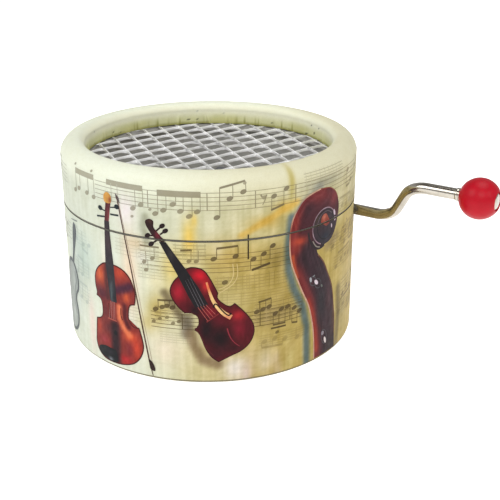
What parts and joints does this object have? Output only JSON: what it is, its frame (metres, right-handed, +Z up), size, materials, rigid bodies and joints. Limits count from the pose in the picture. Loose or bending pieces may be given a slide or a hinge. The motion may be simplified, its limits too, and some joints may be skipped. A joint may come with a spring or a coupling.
{
  "type": "hand crank music box",
  "caption": "Round card music box with a printed wrap, a lift-off lid with a mesh top, and a bent wire crank that turns a pinned drum under a comb.",
  "frame": {"origin": "centre of the round box's underside", "axes": "+Z up through the lid; +X towards the crank, along the crank's own axis; +Y towards the wheel end of the drum"},
  "size_m": [0.0791, 0.054, 0.0372],
  "materials": {
    "printed_paper": "coated printed paper, satin",
    "label_paper": "plain matt paper",
    "card": "light grey board",
    "mesh_metal": "bright expanded metal",
    "die_cast_zinc": "dull cast grey, stands for zinc alloy",
    "steel": "zinc plated",
    "comb_steel": "ground spring steel",
    "lead_weight": "dull lead alloy",
    "brass": "bright turned brass",
    "drum_resin": "cast resin filling",
    "wheel_plastic": "moulded acetal",
    "plated_wire": "bright nickel plate",
    "red_ball": "polished"
  },
  "bodies": {
    "base": {"base_paper": "label_paper", "bottom_disc": "card", "lower_shell": "card", "lower_wrap": "printed_paper", "inner_collar": "card", "bedplate": "die_cast_zinc", "mounting_screws": "steel", "mounting_washers": "steel", "comb": "comb_steel", "comb_bass_weights": "lead_weight", "comb_screws": "steel", "worm_bush_rear": "brass", "worm_bush_front": "brass"},
    "lid": {"lid_shell": "card", "lid_rim_ring": "card", "lid_wrap": "printed_paper", "mesh_disc": "mesh_metal", "mesh_retainer": "card"},
    "crank": {"worm_shaft": "steel", "worm_clip": "steel", "crank_wire": "plated_wire"},
    "knob": {"crank_knob": "red_ball"},
    "drum": {"drum_arbor": "steel", "drum_core": "drum_resin", "drum_sleeve": "brass", "drum_end_cap": "wheel_plastic", "drum_washer": "steel", "drum_gear": "wheel_plastic", "drum_pins": "steel"}
  },
  "joints": [
    {"name": "crank_spin", "type": "hinge", "parent": "base", "child": "crank", "pos_m": [0, 0.0117, 0.0234], "axis": [1, 0, 0], "continuous": true},
    {"name": "knob_spin", "type": "hinge", "parent": "crank", "child": "knob", "pos_m": [0.049, 0.00811, 0.0311], "axis": [1, 0, 0], "continuous": true},
    {"name": "drum_spin", "type": "hinge", "parent": "base", "child": "drum", "pos_m": [0.004, 0, 0.0144], "axis": [0, 1, 0], "continuous": true},
    {"name": "lid_lift", "type": "slide", "parent": "base", "child": "lid", "axis": [0, 0, 1], "range_m": [0, 0.03]}
  ],
  "couplings": [
    {"joint": "drum_spin", "follows": "crank_spin", "ratio": -0.035714}
  ]
}
